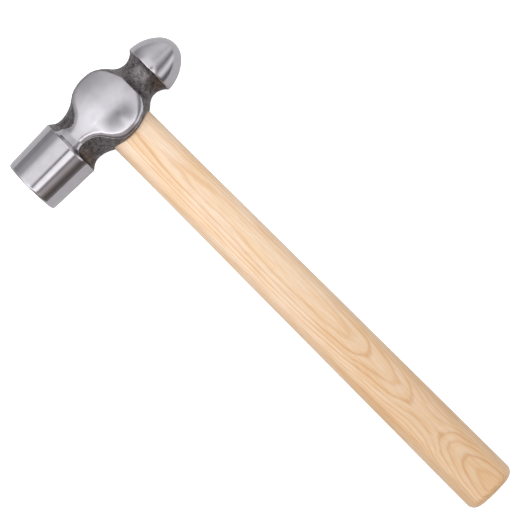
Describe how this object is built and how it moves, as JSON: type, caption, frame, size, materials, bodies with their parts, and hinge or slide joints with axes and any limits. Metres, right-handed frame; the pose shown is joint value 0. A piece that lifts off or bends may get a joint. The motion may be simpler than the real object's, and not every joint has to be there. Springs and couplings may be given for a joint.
{
  "type": "ball peen hammer",
  "caption": "Ball peen hammer: forged steel head with a round poll, a bulged eye and a dome-shaped ball, wedged on a straight oval ash handle.",
  "frame": {"origin": "centre of the striking face, on the axis of the head", "axes": "+Y along the head from the striking face to the ball, +X along the handle from the head to the butt, +Z out of the cheek that faces up when the hammer lies on its side"},
  "size_m": [0.3701, 0.1298, 0.0414],
  "materials": {
    "forged_steel": "ground and polished on the poll, the cheeks and the ball, dark forging scale left in the necks and round the foot of the eye",
    "ash_wood": "clear lacquered pale ash, satin to glossy",
    "wedge_wood": "unfinished hardwood, sawn end grain",
    "wedge_steel": "plain mild steel, ground off with the tongue"
  },
  "bodies": {
    "root": {"hammer_head": "forged_steel", "handle": "ash_wood", "wooden_wedge": "wedge_wood", "steel_wedge_poll_side": "wedge_steel", "steel_wedge_ball_side": "wedge_steel"}
  },
  "joints": []
}
